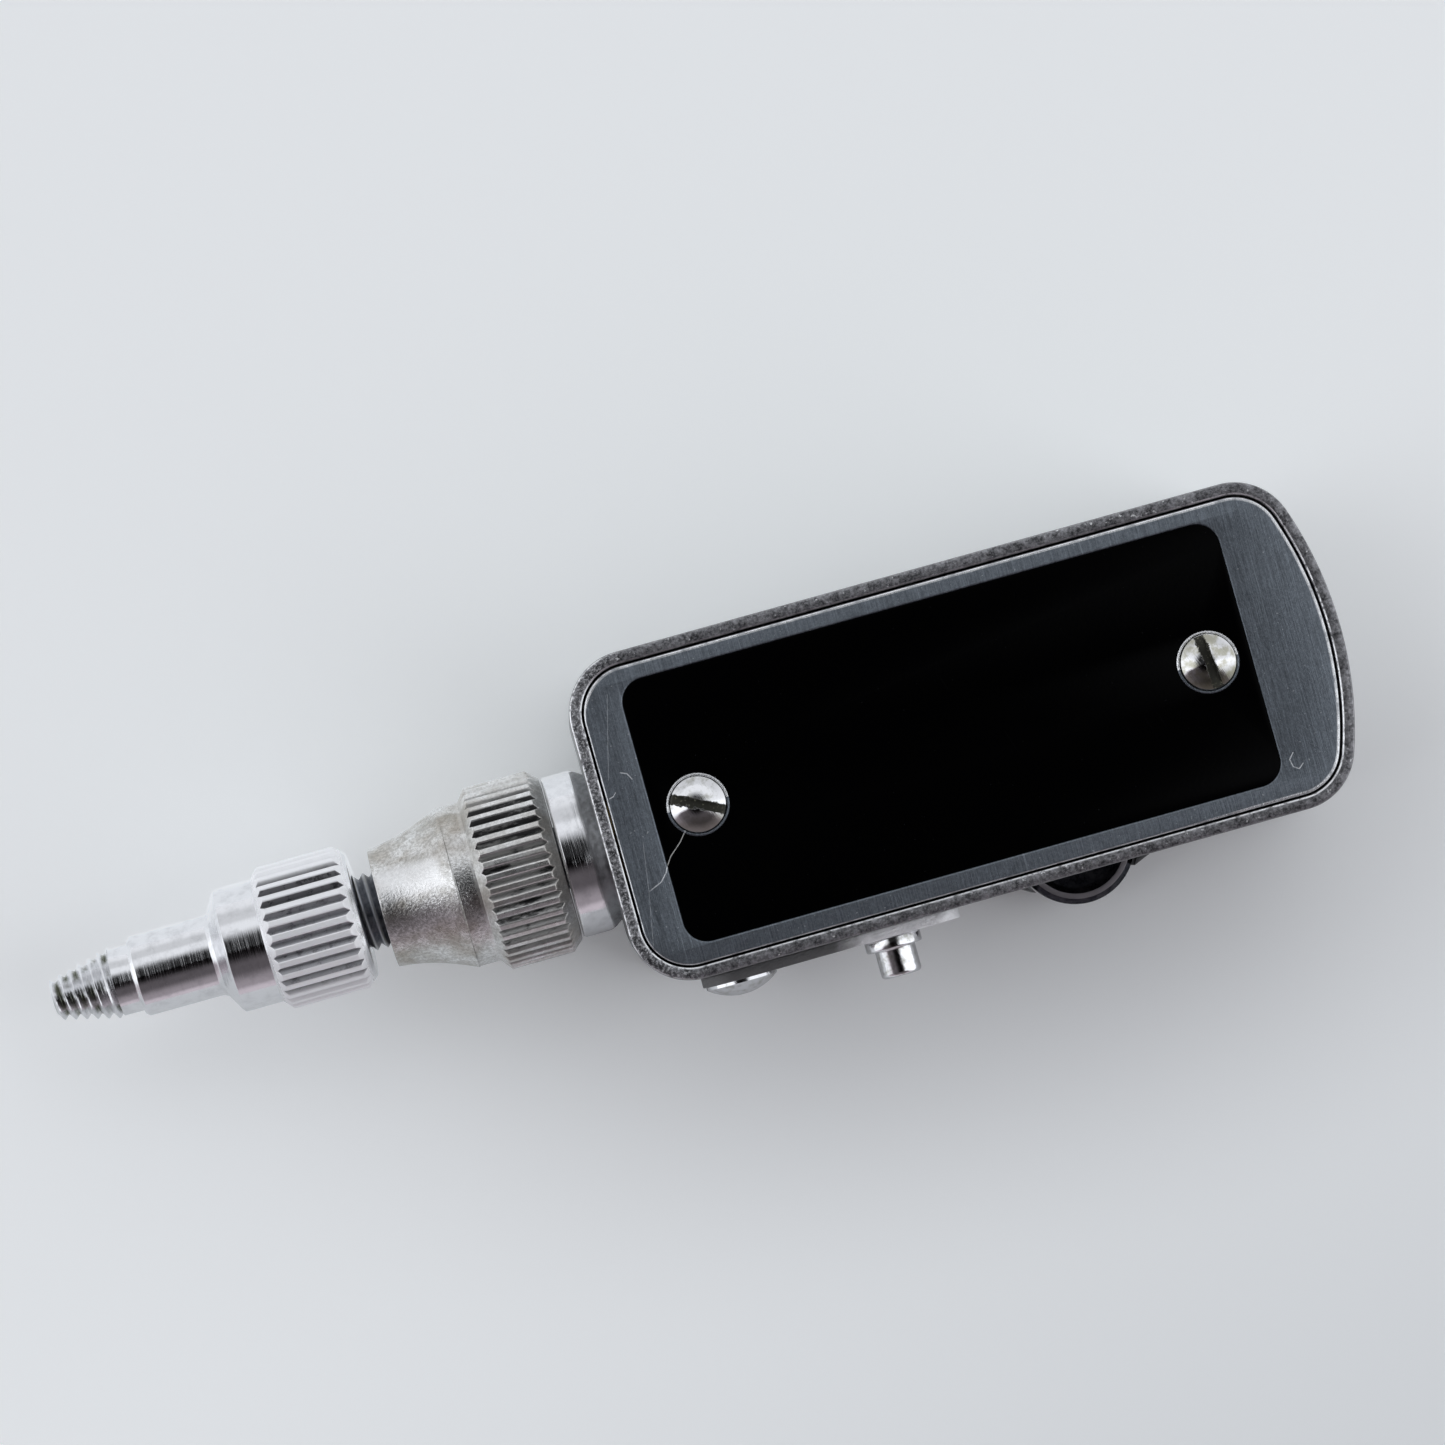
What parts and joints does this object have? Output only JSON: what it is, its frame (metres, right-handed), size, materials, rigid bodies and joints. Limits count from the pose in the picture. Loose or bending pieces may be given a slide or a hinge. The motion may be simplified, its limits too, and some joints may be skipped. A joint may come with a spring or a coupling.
{
  "type": "camera self-timer",
  "caption": "Clockwork self-timer with a knurled nose that screws into a shutter release socket, a plunger, a start lever and a winding wheel.",
  "frame": {"origin": "on the nose axis, where the tapered release thread is widest", "axes": "+X along the nose axis from the release thread towards the case; +Z out of the face plate; -Y towards the start lever and the winding wheel"},
  "size_m": [0.0623, 0.0181, 0.0125],
  "materials": {
    "bright_chrome": "polished chrome, lightly worn on the ridges",
    "dull_nickel": "dull, stained nickel plate",
    "black_steel": "blackened, oiled",
    "case_sheet": "nickelled sheet, oxidised and mottled",
    "face_aluminium": "brushed across its width, scratched",
    "black_enamel": "satin black enamel, bare of lettering",
    "lever_steel": "plated, worn",
    "wheel_black": "blackened, with a bright worn lip",
    "movement_brass": "satin",
    "movement_steel": "polished",
    "blued_steel": "blued"
  },
  "bodies": {
    "case": {"case_shell": "case_sheet", "face_plate": "face_aluminium", "panel_enamel": "black_enamel", "cover_screws": "bright_chrome", "base_bush": "bright_chrome", "base_nut": "movement_brass", "lower_plate": "movement_brass", "upper_plate": "movement_brass", "pillars": "movement_brass", "plate_screws": "blued_steel", "spring_post": "movement_brass", "spring_guide": "movement_steel", "drive_spring": "movement_steel", "wheel_stud": "movement_steel"},
    "nose": {"swivel_collar": "dull_nickel", "threaded_stem": "black_steel", "stem_ring": "movement_steel"},
    "sleeve": {"guide_sleeve": "movement_brass"},
    "tip": {"release_tip": "bright_chrome"},
    "plunger": {"plunger_rod": "movement_steel", "rack": "movement_brass"},
    "drive": {"drive_arbor": "movement_steel", "winding_gear": "movement_brass", "rack_pinion": "movement_steel", "ratchet_wheel": "movement_steel"},
    "great_wheel": {"drive_wheel": "movement_brass", "click_screw": "blued_steel", "click_spring": "blued_steel"},
    "click": {"click": "blued_steel"},
    "second": {"second_arbor": "movement_steel", "second_wheel": "movement_brass"},
    "escape": {"escape_arbor": "movement_steel", "escape_wheel": "movement_brass"},
    "anchor": {"anchor": "movement_steel", "anchor_arbor": "movement_steel", "inertia_bar": "movement_brass"},
    "winding": {"winding_wheel": "wheel_black"},
    "lever": {"start_lever": "lever_steel", "lever_stud": "bright_chrome", "lever_screw": "bright_chrome", "lever_washer": "movement_steel", "brake_arm": "movement_steel"}
  },
  "joints": [
    {"name": "nose_swivel", "type": "hinge", "parent": "case", "child": "nose", "pos_m": [0, 0, 0], "axis": [1, 0, 0], "continuous": true},
    {"name": "tip_travel", "type": "slide", "parent": "nose", "child": "sleeve", "axis": [1, 0, 0], "range_m": [-0.0015, 0.0009]},
    {"name": "tip_turn", "type": "hinge", "parent": "sleeve", "child": "tip", "pos_m": [0, 0, 0], "axis": [1, 0, 0], "range_deg": [-1080, 648]},
    {"name": "drive_turn", "type": "hinge", "parent": "case", "child": "drive", "pos_m": [0.04889, -0.0025, 0], "axis": [0, 0, 1], "range_deg": [0, 180]},
    {"name": "plunger_stroke", "type": "slide", "parent": "case", "child": "plunger", "axis": [-1, 0, 0], "range_m": [0, 0.00503], "deforming": ["drive_spring"]},
    {"name": "great_wheel_turn", "type": "hinge", "parent": "case", "child": "great_wheel", "pos_m": [0.04889, -0.0025, 0], "axis": [0, 0, 1], "range_deg": [0, 180]},
    {"name": "click_lift", "type": "hinge", "parent": "great_wheel", "child": "click", "pos_m": [0.05029, -0.00043, 0], "axis": [0, 0, 1], "range_deg": [0, 10], "deforming": ["click_spring"]},
    {"name": "second_turn", "type": "hinge", "parent": "case", "child": "second", "pos_m": [0.05013, 0.00214, 0], "axis": [0, 0, 1], "range_deg": [-540, 0]},
    {"name": "escape_turn", "type": "hinge", "parent": "case", "child": "escape", "pos_m": [0.04653, 0.00466, 0], "axis": [0, 0, 1], "range_deg": [0, 2160]},
    {"name": "anchor_rock", "type": "hinge", "parent": "case", "child": "anchor", "pos_m": [0.04336, 0.00466, 0], "axis": [0, 0, 1], "range_deg": [-5, 5]},
    {"name": "winding_turn", "type": "hinge", "parent": "case", "child": "winding", "pos_m": [0.04555, -0.00595, 0], "axis": [0, 0, 1], "range_deg": [-180, 0]},
    {"name": "lever_turn", "type": "hinge", "parent": "case", "child": "lever", "pos_m": [0.02835, -0.0071, 0.001], "axis": [0, -1, 0], "range_deg": [0, 15]}
  ],
  "couplings": [
    {"joint": "tip_turn", "follows": "tip_travel", "rad_per_m": 12566},
    {"joint": "drive_turn", "follows": "plunger_stroke", "rad_per_m": 625},
    {"joint": "great_wheel_turn", "follows": "plunger_stroke", "rad_per_m": 625},
    {"joint": "second_turn", "follows": "plunger_stroke", "rad_per_m": -1875},
    {"joint": "escape_turn", "follows": "plunger_stroke", "rad_per_m": 7500},
    {"joint": "winding_turn", "follows": "plunger_stroke", "rad_per_m": -625}
  ]
}
